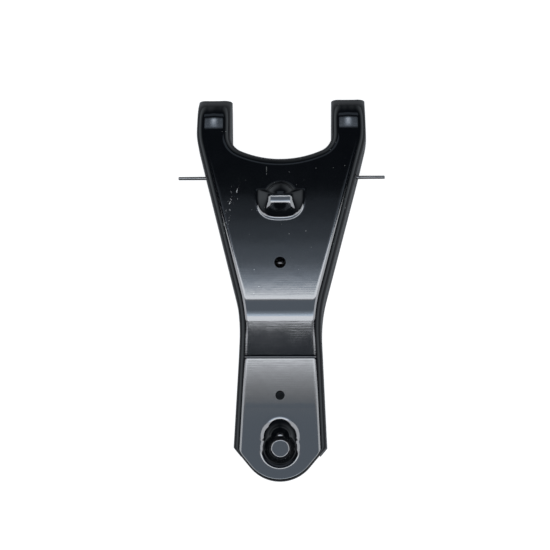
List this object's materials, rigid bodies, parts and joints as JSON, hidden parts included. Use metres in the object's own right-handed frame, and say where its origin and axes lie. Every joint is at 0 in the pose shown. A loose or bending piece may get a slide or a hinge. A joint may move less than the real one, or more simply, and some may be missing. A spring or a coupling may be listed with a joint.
{
  "type": "clutch fork",
  "caption": "Pressed steel clutch release fork: U-shaped arms with bearing pads, a raised ball socket, a stepped tongue with a pushrod seat, and a wire ball-retaining spring.",
  "frame": {"origin": "centre of the pivot ball that the raised socket sits on", "axes": "+Y along the fork towards its two arms, +Z out of the web on the side of the bearing pads, +X to the right-hand arm; the level flange edges lie parallel to XY"},
  "size_m": [0.0956, 0.1769, 0.0231],
  "materials": {
    "black_coat": "smooth gloss black electro-coat over pressed sheet steel",
    "spring_wire": "drawn and oil-tempered spring wire, satin"
  },
  "bodies": {
    "root": {"fork_lever": "black_coat", "ball_retaining_spring": "spring_wire"}
  },
  "joints": []
}
